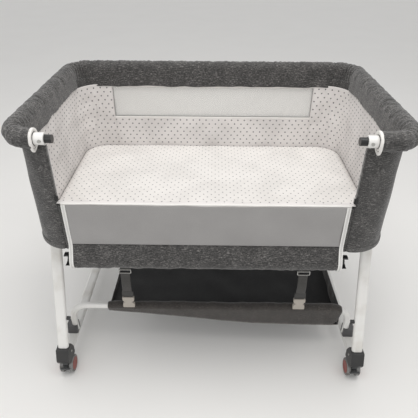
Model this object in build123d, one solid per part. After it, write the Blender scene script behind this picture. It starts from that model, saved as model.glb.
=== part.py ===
from build123d import *
import math
import os

# Bedside bassinet with its front side lowered. Millimetres, +X to the right as seen from the
# front, +Y to the back, +Z up. The origin is the centre of the footprint, on the floor.
# The left and right ends mirror each other, and so do the front and rear of the stand.

LEFT, RIGHT = -1, 1
FRONT, REAR = -1, 1

# Top rail: a steel tube in a foam pad, open at the front where the drop side closes it
rail_half_width = 428.0
rail_half_depth = 263.5
rail_height = 726.0
rail_corner = 60.0
rail_tube_radius = 9.5
rail_tube_wall = 1.5
pad_radius = 22.0
pad_gap = 0.3

# Front opening, measured each way from its own centre, which lies a little left of the middle
opening_centre = -12.0
pad_end = 354.0
pad_end_thickness = 3.0
sleeve_end = 330.0
sleeve_radius = 13.0
plug_length = 15.0
plug_radius = 9.0
plug_spigot = 3.0
strip_edge = 339.0
fit_gap = 0.05

# Snap buttons in the stub sleeves
button_radius = 3.5
button_from_pad = 16.0
button_stand_out = 2.5
button_inside = 2.2
button_hole_gap = 0.5

# Padded walls
wall_drop = 296.0
wall_half_width = 430.0
wall_half_depth = 253.5
wall_corner = 85.0
wall_end_thickness = 21.5
wall_side_thickness = 12.0
wall_inner_corner = 70.0
rail_clearance = 0.2
lining_gap = 0.5
lining_thickness = 1.5
lining_drop = 36.0
lining_rise = 2.2

# Mesh window in the back wall
window_half_width = 311.0
window_drop = 48.0
window_height = 100.0
mesh_thickness = 1.0
seam_gap = 0.3

# Drop side
hinge_drop = 161.0
hinge_stand_off = 4.5
panel_half = 329.0
panel_thickness = 1.2
piping_radius = 2.5
binding_width = 14.0
binding_thickness = 2.0
band_width = 26.0
band_thickness = 3.0
tape_width = 10.0
tape_thickness = 2.0
drop_pad_radius = 22.0
front_wall_drop = 5.0

# End cups of the lowered rail, which close over the stubs when the side is raised
cup_inner_radius = 14.5
cup_wall = 2.5
cup_overlap = 15.0
cup_plug_gap = 3.0
cup_grip = 14.0
cup_slot = 28.6
cup_pad_gap = 0.3

# Zip sliders on the edges of the fixed front strips
slider_width = 9.0
slider_height = 12.0
slider_thickness = 4.5
slider_gap = 0.5
slider_start = 6.0
slider_pull = 16.0

# Base under the mattress
cover_thickness = 1.5
base_tube_radius = 9.5
base_cross_radius = 8.0
base_side_tube = 222.0
base_side_reach = 360.0
base_cross_tube = 250.0
base_stay = 80.0
stay_radius = 7.0
board_thickness = 6.0
board_gap = 0.3
mattress_thickness = 30.0
mattress_gap = 2.5
mattress_lift_gap = 0.3

# Posts in the end walls, which slide on the risers of the legs
post_from_middle = 160.0
post_setback = 11.0
post_radius = 9.5
post_drop = 26.0
riser_radius = 8.0
riser_wall = 1.5
riser_fit = 0.06
riser_length = 176.0
channel_gap = 0.3

# Legs and foot rails: flat oval steel tube
leg_from_middle = 410.0
oval_width = 30.0
oval_depth = 15.0
oval_corner = 7.4
oval_wall = 1.5
leg_foot_setback = 19.816
leg_foot_height = 80.0
leg_top_gap = 6.0
foot_rail_top = 67.5
foot_rail_setback = 42.0
housing_gap = 0.1

# Foot housings, moulded corners that join leg, foot rail and caster
housing_width = 35.0
housing_bottom = 51.7
housing_outer = 304.0
housing_depth = 52.0
housing_top = 102.0
housing_round = 3.0

# Crossbars and the blocks that hold them on the foot rails
crossbar_from_middle = 185.0
crossbar_height = 172.0
crossbar_end = 402.0
crossbar_radius = 9.2
crossbar_wall = 1.2
crossbar_bend = 50.0
crossbar_foot = 73.0
block_width = 31.0
block_depth = 30.0
block_height = 28.0
block_round = 4.0
knob_radius = 5.5
knob_height = 183.0
knob_length = 9.0
screw_radius = 3.2
screw_head = 1.8

# Storage tray, sleeved over both crossbars
tray_left = -294.0
tray_right = 351.0
hem_gap = 0.4
hem_thickness = 2.0
tray_cloth = 2.0
tray_side_drop = 40.0
tray_sag = 14.0
tray_end_height = 30.0

# Casters: twin wheels on a hooded body with an upright stem
caster_stem_setback = 18.0
caster_trail = 14.0
wheel_radius = 25.0
wheel_width = 11.0
wheel_inner_face = 7.5
wheel_round = 2.5
disc_radius = 18.0
disc_hole_radius = 9.0
disc_depth = 1.2
disc_stand_out = 0.8
axle_radius = 3.0
axle_fit = 0.06
hood_half_width = 6.8
hood_radius = 17.0
caster_top = 51.2
flange_radius = 9.0
flange_thickness = 1.0
stem_radius = 5.0
stem_fit = 0.06
stem_length = 21.0
brake_width = 11.0
brake_thickness = 3.0
brake_rise = 9.0
brake_pedal_gap = 1.5
brake_pedal_width = 28.0
brake_pedal_depth = 5.4
brake_room = 4.5

# Tether straps under the front edge
strap_places = (-228.0, 247.0)
strap_depth_place = -207.0
strap_width = 25.0
strap_thickness = 1.6
strap_tuck = 10.0
ring_drop = 109.0
ring_width = 34.0
ring_tall = 13.0
ring_wire = 1.9
buckle_drop = 93.0
buckle_height = 37.0
buckle_width = 32.0
buckle_waist = 20.0
buckle_thickness = 8.0
adjuster_gap = 3.0
adjuster_height = 18.0
adjuster_width = 31.0
adjuster_thickness = 5.0

wall_bottom = rail_height - wall_drop
window_top = rail_height - window_drop
window_bottom = window_top - window_height
hinge_height = rail_height - hinge_drop
lining_top = rail_height - lining_drop
post_top = rail_height - post_drop
leg_top_height = wall_bottom - leg_top_gap
riser_top = leg_top_height + riser_length
housing_inner = housing_outer - housing_depth
foot_rail_end = housing_outer - foot_rail_setback
caster_stem_from_middle = housing_outer - caster_stem_setback
leg_slope = ((housing_outer - leg_foot_setback - post_from_middle)
             / (leg_top_height - leg_foot_height))
hinge_depth = -(wall_half_depth + hinge_stand_off)
rail_swing = math.hypot(rail_half_depth + hinge_depth, rail_height - hinge_height)
low_rail_height = hinge_height - rail_swing
raised_lean = math.asin((rail_half_depth + hinge_depth) / rail_swing)
cup_radius = cup_inner_radius + cup_wall
cup_end = sleeve_end + cup_overlap
drop_tube_end = sleeve_end - plug_length - cup_plug_gap
button_place = pad_end - button_from_pad
base_tube_height = wall_bottom + cover_thickness + base_tube_radius + board_gap / 2
board_bottom = base_tube_height + base_tube_radius + board_gap / 2
lining_bottom = board_bottom + board_thickness + lining_rise
ring_height = wall_bottom - ring_drop
buckle_top = ring_height - buckle_drop
buckle_bottom = buckle_top - buckle_height
strap_end = buckle_top - strap_tuck
adjuster_bottom = buckle_top + adjuster_gap


def box(x0, x1, y0, y1, z0, z1):
    """A block between two opposite corners."""
    centre = ((x0 + x1) / 2, (y0 + y1) / 2, (z0 + z1) / 2)
    return Pos(*centre) * Box(abs(x1 - x0), abs(y1 - y0), abs(z1 - z0))


def rod(start, end, radius):
    """A round bar between two points."""
    length = (Vector(*end) - Vector(*start)).length
    plane = Plane(origin=start, z_dir=Vector(*end) - Vector(*start))
    return extrude(plane * Circle(radius), length)


def tube(start, end, radius, inner):
    """A round tube between two points."""
    return rod(start, end, radius) - rod(start, end, inner)


def rounded_block(half_width, half_depth, corner, z0, z1):
    """An upright prism with a rounded rectangular plan."""
    outline = RectangleRounded(2 * half_width, 2 * half_depth, corner)
    return extrude(Pos(0, 0, z0) * outline, z1 - z0)


def swept(path, radius):
    """A round bar along a path."""
    plane = Plane(origin=path @ 0, z_dir=path % 0)
    return sweep(plane * Circle(radius), path=path)


def place(side, distance):
    """A position along the front opening, from the opening's centre."""
    return opening_centre + side * distance


def mirror_ends(shape):
    """The same shape at the left and the right end."""
    return shape + mirror(shape, about=Plane.YZ)


def rail_point(side, depth):
    return (side * rail_half_width, depth * rail_half_depth, rail_height)


def rail_path(end_place):
    """The whole line of the rail between its two ends at the front opening."""
    points = [(place(LEFT, end_place), -rail_half_depth, rail_height),
              rail_point(LEFT, FRONT), rail_point(LEFT, REAR),
              rail_point(RIGHT, REAR), rail_point(RIGHT, FRONT),
              (place(RIGHT, end_place), -rail_half_depth, rail_height)]
    return FilletPolyline(*points, radius=rail_corner)


def rail_tube():
    """Bent steel tube of the top rail, with a hole for each snap button."""
    path = rail_path(sleeve_end)
    solid = swept(path, rail_tube_radius) - swept(path, rail_tube_radius - rail_tube_wall)
    for side in (LEFT, RIGHT):
        solid -= button_bore(side)
    return solid


def back_join():
    """Where the end pads meet the back pad, just past the rear corners."""
    return rail_half_width - rail_corner - 1.0


def end_pad_path(side):
    points = [(place(side, pad_end), -rail_half_depth, rail_height),
              rail_point(side, FRONT), rail_point(side, REAR),
              (side * back_join(), rail_half_depth, rail_height)]
    return FilletPolyline(*points, radius=rail_corner)


def end_pad(side):
    """Foam pad over one end of the rail, round both of its corners."""
    path = end_pad_path(side)
    return swept(path, pad_radius) - swept(path, rail_tube_radius + pad_gap)


def back_pad():
    """Foam pad over the straight back of the rail."""
    start = (-back_join() + seam_gap, rail_half_depth, rail_height)
    end = (back_join() - seam_gap, rail_half_depth, rail_height)
    return tube(start, end, pad_radius, rail_tube_radius + pad_gap)


def pad_envelope():
    """The space that the padded rail needs, to trim the walls under it."""
    return swept(rail_path(sleeve_end), pad_radius + rail_clearance)


def pad_end_rings():
    """White bound end face of each pad, round the stub."""
    rings = []
    for side in (LEFT, RIGHT):
        outer = place(side, pad_end - fit_gap)
        inner = place(side, pad_end - fit_gap - pad_end_thickness)
        start = (outer, -rail_half_depth, rail_height)
        end = (inner, -rail_half_depth, rail_height)
        rings.append(tube(start, end, pad_radius, rail_tube_radius + fit_gap))
    return rings


def button_bore(side):
    """The hole that a snap button passes through, square to the front."""
    start = (place(side, button_place), -rail_half_depth, rail_height)
    end = (place(side, button_place), -rail_half_depth - 2 * sleeve_radius, rail_height)
    return rod(start, end, button_radius + fit_gap)


def stub_sleeves():
    """White plastic sleeves over the two stub ends of the rail."""
    sleeves = []
    for side in (LEFT, RIGHT):
        start = (place(side, pad_end - pad_end_thickness - 2 * fit_gap),
                 -rail_half_depth, rail_height)
        end = (place(side, sleeve_end), -rail_half_depth, rail_height)
        sleeve = tube(start, end, sleeve_radius, rail_tube_radius + fit_gap)
        sleeves.append(sleeve - button_bore(side))
    return sleeves


def stub_plugs():
    """Black plugs that close the ends of the rail tube."""
    plugs = []
    inner = rail_tube_radius - rail_tube_wall - fit_gap
    for side in (LEFT, RIGHT):
        head = (place(side, sleeve_end - plug_length), -rail_half_depth, rail_height)
        collar = (place(side, sleeve_end - fit_gap), -rail_half_depth, rail_height)
        spigot = (place(side, sleeve_end + plug_spigot), -rail_half_depth, rail_height)
        plugs.append(rod(head, collar, plug_radius) + rod(collar, spigot, inner))
    return plugs


def snap_button(side):
    """Sprung button that locks the raised side, with a stem into the rail tube."""
    x = place(side, button_place)
    tip = -rail_half_depth - sleeve_radius - button_stand_out
    root = -rail_half_depth - rail_tube_radius + rail_tube_wall + button_inside
    return rod((x, root, rail_height), (x, tip, rail_height), button_radius)


def wall_ring():
    """The padded wall all round, before it is cut into its panels."""
    outer = rounded_block(wall_half_width, wall_half_depth, wall_corner,
                          wall_bottom, rail_height)
    inner = rounded_block(wall_half_width - wall_end_thickness,
                          wall_half_depth - wall_side_thickness,
                          wall_inner_corner, wall_bottom, rail_height)
    return outer - inner - pad_envelope()


def end_frame_space():
    """Channels in the end walls for the posts and the tube between them."""
    x = post_place()
    space = rod((x, -post_from_middle, base_tube_height),
                (x, post_from_middle, base_tube_height), base_cross_radius + channel_gap)
    for depth in (FRONT, REAR):
        y = depth * post_from_middle
        space += rod((x, y, wall_bottom - 1), (x, y, post_top + channel_gap),
                     post_radius + channel_gap)
        space += rod((0, depth * base_stay, base_tube_height),
                     (x, depth * base_stay, base_tube_height), stay_radius + channel_gap)
    return mirror_ends(space)


def end_wall(side, ring):
    """Padded end wall with both of its corners, back to the window and forward to the zip."""
    window_side = box(side * (window_half_width + seam_gap), side * wall_half_width,
                      0, wall_half_depth, wall_bottom, rail_height)
    strip = box(place(side, strip_edge), side * wall_half_width,
                -wall_half_depth, 0, wall_bottom, rail_height)
    return (ring - end_frame_space()) & (window_side + strip)


def back_wall(ring):
    """Padded back wall under the mesh window."""
    return ring & box(-window_half_width, window_half_width, 0, wall_half_depth,
                      wall_bottom, window_bottom)


def back_band(ring):
    """Fabric band between the window and the rail."""
    return ring & box(-window_half_width, window_half_width, 0, wall_half_depth,
                      window_top, rail_height)


def front_wall():
    """Low fixed front wall, from the base to the hinge seam of the drop side."""
    return box(place(LEFT, strip_edge - seam_gap), place(RIGHT, strip_edge - seam_gap),
               -wall_half_depth, -wall_half_depth + wall_side_thickness,
               wall_bottom, hinge_height - front_wall_drop)


def mesh_window():
    """Mesh in the back wall's opening."""
    middle = wall_half_depth - wall_side_thickness / 2
    return box(-window_half_width + seam_gap, window_half_width - seam_gap,
               middle - mesh_thickness / 2, middle + mesh_thickness / 2,
               window_bottom + seam_gap, window_top - seam_gap)


def lining():
    """Dotted lining inside the walls, open at the window and the front opening."""
    half_width = wall_half_width - wall_end_thickness - lining_gap
    half_depth = wall_half_depth - wall_side_thickness - lining_gap
    outer = rounded_block(half_width, half_depth, wall_inner_corner - lining_gap,
                          lining_bottom, lining_top)
    inner = rounded_block(half_width - lining_thickness, half_depth - lining_thickness,
                          wall_inner_corner - lining_gap - lining_thickness,
                          lining_bottom, lining_top)
    window = box(-window_half_width, window_half_width, 0, wall_half_depth,
                 window_bottom, window_top)
    opening = box(place(LEFT, strip_edge), place(RIGHT, strip_edge),
                  -wall_half_depth, 0, hinge_height - front_wall_drop, lining_top)
    return outer - inner - window - opening - pad_envelope()


def post_place():
    return wall_half_width - post_setback


def end_frame(side):
    """Two upright posts and the tube that ties them, inside one end wall."""
    x = side * post_place()
    low = wall_bottom + cover_thickness + channel_gap
    frame = rod((x, -post_from_middle, base_tube_height),
                (x, post_from_middle, base_tube_height), base_cross_radius)
    for depth in (FRONT, REAR):
        y = depth * post_from_middle
        frame += rod((x, y, low), (x, y, post_top), post_radius)
        frame -= rod((x, y, low), (x, y, post_top), riser_radius + riser_fit)
    return frame


def base_frame():
    """Welded tubes under the mattress board, between the two end frames."""
    z = base_tube_height
    stay_reach = post_place() - base_cross_radius - fit_gap
    frame = rod((-base_side_reach, base_side_tube, z), (base_side_reach, base_side_tube, z),
                base_tube_radius)
    frame += mirror(frame, about=Plane.XZ)
    for x in (-base_cross_tube, base_cross_tube):
        frame += rod((x, -base_side_tube, z), (x, base_side_tube, z), base_cross_radius)
    for y in (-base_stay, base_stay):
        frame += rod((-stay_reach, y, z), (stay_reach, y, z), stay_radius)
    return frame


def inner_plan(gap, z0, z1):
    """A prism that fills the inside of the walls, less a gap."""
    return rounded_block(wall_half_width - wall_end_thickness - gap,
                         wall_half_depth - wall_side_thickness - gap,
                         wall_inner_corner - gap, z0, z1)


def bottom_cover():
    """Fabric that closes the underside."""
    return inner_plan(seam_gap, wall_bottom, wall_bottom + cover_thickness)


def base_board():
    """Board that carries the mattress."""
    return inner_plan(mattress_gap, board_bottom, board_bottom + board_thickness)


def mattress():
    """Foam mattress with drawn-in sides and a crowned top."""
    half_width = wall_half_width - wall_end_thickness - lining_thickness - mattress_gap
    half_depth = wall_half_depth - wall_side_thickness - lining_thickness - mattress_gap
    corner = wall_inner_corner - lining_thickness - mattress_gap
    bottom = board_bottom + board_thickness + mattress_lift_gap
    levels = ((0.0, 5.0), (0.3, 0.0), (0.7, 0.6), (0.92, 9.0), (1.0, 60.0))
    sections = [Pos(0, 0, bottom + share * mattress_thickness)
                * RectangleRounded(2 * (half_width - inset), 2 * (half_depth - inset),
                                   max(corner - inset, 12))
                for share, inset in levels]
    return loft(sections, ruled=True)


def panel_box(half0, half1, drop0, drop1, thickness, side=None):
    """A flat piece of the hanging drop side, given across it and down from the hinge."""
    x0, x1 = place(LEFT, half1), place(RIGHT, half1)
    if side is not None:
        x0, x1 = place(side, half0), place(side, half1)
    return box(x0, x1, hinge_depth - thickness / 2, hinge_depth + thickness / 2,
               hinge_height - drop1, hinge_height - drop0)


def drop_mesh():
    """Mesh field of the drop side."""
    return panel_box(0, panel_half - tape_width - seam_gap, binding_width + seam_gap,
                     rail_swing - drop_pad_radius - band_width - seam_gap, panel_thickness)


def drop_binding():
    """White bound edge along the hinge seam, with its piping on the hinge line."""
    x0, x1 = place(LEFT, panel_half), place(RIGHT, panel_half)
    piping = rod((x0, hinge_depth, hinge_height), (x1, hinge_depth, hinge_height),
                 piping_radius)
    return piping + panel_box(0, panel_half, 0, binding_width, binding_thickness)


def drop_pad_space():
    """Round space of the drop side's pad."""
    return rod((place(LEFT, panel_half + 1), hinge_depth, low_rail_height),
               (place(RIGHT, panel_half + 1), hinge_depth, low_rail_height),
               drop_pad_radius + seam_gap)


def drop_zip_tapes():
    """White zip tapes down both edges of the drop side."""
    tapes = []
    for side in (LEFT, RIGHT):
        tapes.append(panel_box(panel_half - tape_width, panel_half,
                               binding_width + seam_gap,
                               rail_swing - drop_pad_radius + 3,
                               tape_thickness, side) - drop_pad_space())
    return tapes


def stub_slots(radius):
    """Space for the two stubs, open towards the front while the side hangs down."""
    spaces = []
    for side in (LEFT, RIGHT):
        x0, x1 = place(side, drop_tube_end), place(side, cup_end + 1)
        bore = rod((x0, hinge_depth, low_rail_height), (x1, hinge_depth, low_rail_height),
                   radius)
        mouth = box(x0, x1, hinge_depth - 2 * drop_pad_radius, hinge_depth,
                    low_rail_height - cup_slot / 2, low_rail_height + cup_slot / 2)
        spaces.append(bore + mouth)
    return spaces


def drop_rail_tube():
    """Steel tube of the drop side."""
    start = (place(LEFT, drop_tube_end - fit_gap), hinge_depth, low_rail_height)
    end = (place(RIGHT, drop_tube_end - fit_gap), hinge_depth, low_rail_height)
    return tube(start, end, rail_tube_radius, rail_tube_radius - rail_tube_wall)


def drop_rail_cups():
    """Black end cups that close over the stubs, each with a hole for its button."""
    cups = []
    spaces = stub_slots(cup_inner_radius)
    for side, space in zip((LEFT, RIGHT), spaces):
        grip = place(side, drop_tube_end - cup_grip)
        end = place(side, cup_end)
        cup = rod((grip, hinge_depth, low_rail_height), (end, hinge_depth, low_rail_height),
                  cup_radius)
        cup -= space
        cup -= rod((grip, hinge_depth, low_rail_height),
                   (place(side, drop_tube_end + 1), hinge_depth, low_rail_height),
                   rail_tube_radius + fit_gap)
        x = place(side, button_place)
        cup -= rod((x, hinge_depth, low_rail_height),
                   (x, hinge_depth + 2 * cup_radius * math.cos(raised_lean),
                    low_rail_height - 2 * cup_radius * math.sin(raised_lean)),
                   button_radius + button_hole_gap)
        cups.append(cup)
    return cups


def drop_pad():
    """Padded rail cover with its flat band above, slotted at its ends for the stubs."""
    start = (place(LEFT, panel_half), hinge_depth, low_rail_height)
    end = (place(RIGHT, panel_half), hinge_depth, low_rail_height)
    band_drop = rail_swing - drop_pad_radius - band_width
    pad = rod(start, end, drop_pad_radius)
    pad += panel_box(0, panel_half - tape_width - seam_gap, band_drop, rail_swing,
                     band_thickness)
    pad -= rod(start, end, rail_tube_radius + pad_gap)
    for side in (LEFT, RIGHT):
        pad -= rod((place(side, drop_tube_end - cup_grip - pad_gap), hinge_depth,
                    low_rail_height),
                   (place(side, panel_half + 1), hinge_depth, low_rail_height),
                   cup_radius + cup_pad_gap)
    for space in stub_slots(cup_inner_radius):
        pad -= space
    return pad


def zip_slider(side):
    """Zip slider with its pull, at the foot of the fixed strip's edge."""
    x = place(side, strip_edge - slider_width / 2 + 2)
    front = -wall_half_depth - slider_gap
    low = hinge_height + slider_start
    body = box(x - slider_width / 2, x + slider_width / 2, front - slider_thickness, front,
               low, low + slider_height)
    body = fillet(body.edges().filter_by(Axis.Y), 2.0)
    pull = box(x - 2, x + 2, front - slider_thickness - 1.2, front - slider_thickness,
               low + 2, low + 2 + slider_pull)
    return body + pull


def leg_spot(side, depth, height):
    """A point on a leg's centre line. The line runs inwards as it rises."""
    top_y = post_from_middle + leg_slope * (leg_top_height - height)
    return (side * leg_from_middle, depth * top_y, height)


def leg_body(side, depth, grow=0.0):
    """The leaning flat oval part of a leg as a full bar."""
    foot = leg_spot(side, depth, leg_foot_height)
    top = leg_spot(side, depth, leg_top_height)
    run = Vector(*top) - Vector(*foot)
    plane = Plane(origin=foot, x_dir=(1, 0, 0), z_dir=run)
    outline = RectangleRounded(oval_width + 2 * grow, oval_depth + 2 * grow,
                               oval_corner + grow)
    return extrude(plane * outline, run.length)


def leg_hollow(side, depth):
    foot = leg_spot(side, depth, leg_foot_height)
    top = leg_spot(side, depth, leg_top_height - oval_depth)
    run = Vector(*top) - Vector(*foot)
    plane = Plane(origin=foot, x_dir=(1, 0, 0), z_dir=run)
    outline = RectangleRounded(oval_width - 2 * oval_wall, oval_depth - 2 * oval_wall,
                               oval_corner - oval_wall)
    return extrude(plane * outline, run.length)


def leg(side, depth):
    """Leaning flat oval leg with the upright round riser welded into its top."""
    x = side * post_place()
    y = depth * post_from_middle
    riser = rod((x, y, leg_top_height - oval_depth / 2), (x, y, riser_top), riser_radius)
    bore = rod((x, y, leg_top_height + oval_depth / 2), (x, y, riser_top),
               riser_radius - riser_wall)
    return leg_body(side, depth) - leg_hollow(side, depth) + riser - bore


def foot_rail_body(side, grow=0.0):
    """Full bar of a foot rail, lying flat from front to back."""
    plane = Plane(origin=(side * leg_from_middle, -foot_rail_end,
                          foot_rail_top - oval_depth / 2),
                  x_dir=(1, 0, 0), z_dir=(0, 1, 0))
    outline = RectangleRounded(oval_width + 2 * grow, oval_depth + 2 * grow,
                               oval_corner + grow)
    return extrude(plane * outline, 2 * foot_rail_end)


def foot_rail(side):
    """Hollow flat oval foot rail."""
    return foot_rail_body(side) - foot_rail_body(side, -oval_wall)


def foot_housings():
    """Moulded corners at the four feet."""
    return [foot_housing(side, depth) for side in (LEFT, RIGHT) for depth in (FRONT, REAR)]


def foot_housing(side, depth):
    """One corner moulding: a rounded block with sockets for leg, foot rail and stem."""
    nose = housing_outer - 12
    profile = [(housing_inner, housing_bottom), (housing_outer - 8, housing_bottom),
               (housing_outer, housing_bottom + 16), (nose, housing_top),
               (nose - 26, housing_top), (housing_inner, foot_rail_top + 8)]
    points = [(side * leg_from_middle - housing_width / 2, depth * y, z)
              for y, z in profile]
    face = make_face(Polyline(*points, close=True))
    block = extrude(face, housing_width, dir=(1, 0, 0))
    block = fillet(block.edges().filter_by(Axis.X), housing_round)
    stem = rod((side * leg_from_middle, depth * caster_stem_from_middle, housing_bottom - 1),
               (side * leg_from_middle, depth * caster_stem_from_middle,
                caster_top + stem_length + 1), stem_radius + stem_fit)
    return (block - leg_body(side, depth, housing_gap)
            - foot_rail_body(side, housing_gap) - stem)


def crossbar_line(depth):
    y = depth * crossbar_from_middle
    return FilletPolyline((-crossbar_end, y, crossbar_foot),
                          (-crossbar_end, y, crossbar_height),
                          (crossbar_end, y, crossbar_height),
                          (crossbar_end, y, crossbar_foot), radius=crossbar_bend)


def crossbar(depth):
    """Bent round tube between the two foot rails."""
    path = crossbar_line(depth)
    return swept(path, crossbar_radius) - swept(path, crossbar_radius - crossbar_wall)


def crossbar_blocks():
    """Moulded blocks that stand on the foot rails and hold the crossbar ends."""
    blocks = []
    for side in (LEFT, RIGHT):
        for depth in (FRONT, REAR):
            x = side * leg_from_middle
            y = depth * crossbar_from_middle
            low = foot_rail_top + fit_gap
            block = box(x - block_width / 2, x + block_width / 2,
                        y - block_depth / 2, y + block_depth / 2, low, low + block_height)
            block = fillet(block.edges().filter_by(Axis.Z), block_round)
            socket = rod((side * crossbar_end, y, crossbar_foot - fit_gap),
                         (side * crossbar_end, y, crossbar_height),
                         crossbar_radius + fit_gap)
            blocks.append(block - socket)
    return blocks


def leg_knobs():
    """Black bolt caps on the inner side of each leg."""
    knobs = []
    for side in (LEFT, RIGHT):
        for depth in (FRONT, REAR):
            _, y, z = leg_spot(side, depth, knob_height)
            face = side * (leg_from_middle - oval_width / 2 - fit_gap)
            knobs.append(rod((face, y, z), (face - side * knob_length, y, z), knob_radius))
    return knobs


def housing_screws():
    """Screw heads on the inner side of the four housings."""
    screws = []
    for side in (LEFT, RIGHT):
        for depth in (FRONT, REAR):
            y = depth * (housing_outer - 30)
            z = housing_top - 22
            face = side * (leg_from_middle - housing_width / 2 - fit_gap)
            screws.append(rod((face, y, z), (face - side * screw_head, y, z), screw_radius))
    return screws


def storage_tray():
    """Fabric tray: hems sleeved on the crossbars, sides that hang, a sagging floor and ends."""
    inner = crossbar_radius + hem_gap
    outer = inner + hem_thickness
    low = crossbar_height - tray_side_drop
    span = crossbar_from_middle
    width = tray_right - tray_left
    edge = outer - tray_cloth
    outside = make_face(Polyline((tray_left, -span - outer + 1, crossbar_height),
                                 (tray_left, -span - edge, low + 6),
                                 (tray_left, -span + 8, low - 3),
                                 (tray_left, -span / 2, low - tray_sag),
                                 (tray_left, span / 2, low - tray_sag),
                                 (tray_left, span - 8, low - 3),
                                 (tray_left, span + edge, low + 6),
                                 (tray_left, span + outer - 1, crossbar_height), close=True))
    shell = extrude(outside, width, dir=(1, 0, 0))
    hollow_face = make_face(Polyline((tray_left, -span - outer + 3, crossbar_height + 30),
                                     (tray_left, -span - edge + 2, low + 7),
                                     (tray_left, -span + 9, low - 1),
                                     (tray_left, -span / 2, low - tray_sag + tray_cloth),
                                     (tray_left, span / 2, low - tray_sag + tray_cloth),
                                     (tray_left, span - 9, low - 1),
                                     (tray_left, span + edge - 2, low + 7),
                                     (tray_left, span + outer - 3, crossbar_height + 30),
                                     close=True))
    hollow = extrude(hollow_face, width - 2 * tray_cloth, dir=(1, 0, 0))
    end_trim = box(tray_left - 1, tray_right + 1, -span + outer + 2, span - outer - 2,
                   low + tray_end_height, crossbar_height + 1)
    tray = shell - Pos(tray_cloth, 0, 0) * hollow - end_trim
    for depth in (FRONT, REAR):
        start = (tray_left, depth * span, crossbar_height)
        end = (tray_right, depth * span, crossbar_height)
        tray += rod(start, end, outer)
        tray -= rod(start, end, inner)
    return tray


def caster_place(side, depth):
    """Stem position and wheel centre of one caster. The wheels trail towards the middle."""
    x = side * leg_from_middle
    stem_y = depth * caster_stem_from_middle
    return x, stem_y, stem_y - depth * caster_trail


def caster_body(side, depth):
    """Hooded caster body with its stem, and the axle pressed into it."""
    x, stem_y, wheel_y = caster_place(side, depth)
    hub = rod((x - hood_half_width, wheel_y, wheel_radius),
              (x + hood_half_width, wheel_y, wheel_radius), hood_radius)
    neck = box(x - hood_half_width, x + hood_half_width,
               min(stem_y, wheel_y) - 7, max(stem_y, wheel_y) + 7, wheel_radius,
               caster_top)
    flange = rod((x, stem_y, caster_top - flange_thickness), (x, stem_y, caster_top),
                 flange_radius)
    stem = rod((x, stem_y, caster_top - 5), (x, stem_y, caster_top + stem_length),
               stem_radius)
    bore = rod((x - 20, wheel_y, wheel_radius), (x + 20, wheel_y, wheel_radius),
               axle_radius)
    slot = brake_slot(side, depth)
    return hub + neck + flange + stem - bore - slot


def caster_axle(side, depth):
    """Steel axle through the caster body."""
    x, _, wheel_y = caster_place(side, depth)
    reach = wheel_inner_face + wheel_width - disc_depth - 1
    return rod((x - reach, wheel_y, wheel_radius), (x + reach, wheel_y, wheel_radius),
               axle_radius)


def caster_wheels(side, depth):
    """The two grey wheels, each with a shallow seat for its side disc."""
    x, _, wheel_y = caster_place(side, depth)
    wheels = []
    for hand in (LEFT, RIGHT):
        inner = x + hand * wheel_inner_face
        outer = x + hand * (wheel_inner_face + wheel_width)
        wheel = rod((inner, wheel_y, wheel_radius), (outer, wheel_y, wheel_radius),
                    wheel_radius)
        rims = wheel.edges().filter_by(GeomType.CIRCLE)
        wheel = fillet(rims, wheel_round)
        wheel -= rod((outer - hand * disc_depth, wheel_y, wheel_radius),
                     (outer + hand, wheel_y, wheel_radius), disc_radius + fit_gap)
        wheel -= rod((inner - hand, wheel_y, wheel_radius),
                     (outer + hand, wheel_y, wheel_radius), axle_radius + axle_fit)
        wheels.append(wheel)
    return wheels


def caster_discs(side, depth):
    """Red side discs clipped into the outer faces of the wheels."""
    x, _, wheel_y = caster_place(side, depth)
    discs = []
    for hand in (LEFT, RIGHT):
        outer = x + hand * (wheel_inner_face + wheel_width)
        disc = rod((outer - hand * (disc_depth - fit_gap), wheel_y, wheel_radius),
                   (outer + hand * disc_stand_out, wheel_y, wheel_radius), disc_radius)
        disc -= rod((outer + hand * (disc_stand_out - 0.5), wheel_y, wheel_radius),
                    (outer + hand * 2, wheel_y, wheel_radius), disc_hole_radius)
        discs.append(disc)
    return discs


def brake_slot(side, depth):
    """Slot in the front of the caster body for the brake lever and its travel."""
    x, stem_y, _ = caster_place(side, depth)
    low = wheel_radius + brake_rise
    return box(x - flange_radius, x + flange_radius,
               stem_y - depth, stem_y + depth * flange_radius,
               low - brake_room, low + brake_thickness + brake_room)


def caster_brake(side, depth):
    """Brake lever on a round pivot between the wheels, with a wide pedal in front of them."""
    x, stem_y, wheel_y = caster_place(side, depth)
    low = wheel_radius + brake_rise
    pedal = wheel_y + depth * (wheel_radius + brake_pedal_gap)
    arm = box(x - brake_width / 2, x + brake_width / 2, stem_y, pedal + depth, low,
              low + brake_thickness)
    plate = box(x - brake_pedal_width / 2, x + brake_pedal_width / 2, pedal,
                pedal + depth * brake_pedal_depth, low, low + brake_thickness)
    pivot_y = stem_y + depth * 0.5
    pivot_z = low + brake_thickness / 2
    pivot = rod((x - brake_width / 2, pivot_y, pivot_z), (x + brake_width / 2, pivot_y, pivot_z),
                brake_thickness / 2 - 0.1)
    return fillet((arm + plate).edges().filter_by(Axis.Z), 1.0) + pivot


def strap_webbing():
    """Webbing of the two tether straps, above and below the ring."""
    pieces = []
    for x in strap_places:
        for low, high in ((ring_height + ring_tall / 2 + fit_gap, wall_bottom - fit_gap),
                          (strap_end, ring_height - ring_tall / 2 - fit_gap)):
            pieces.append(box(x - strap_width / 2, x + strap_width / 2,
                              strap_depth_place - strap_thickness / 2,
                              strap_depth_place + strap_thickness / 2, low, high))
    return pieces


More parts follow.
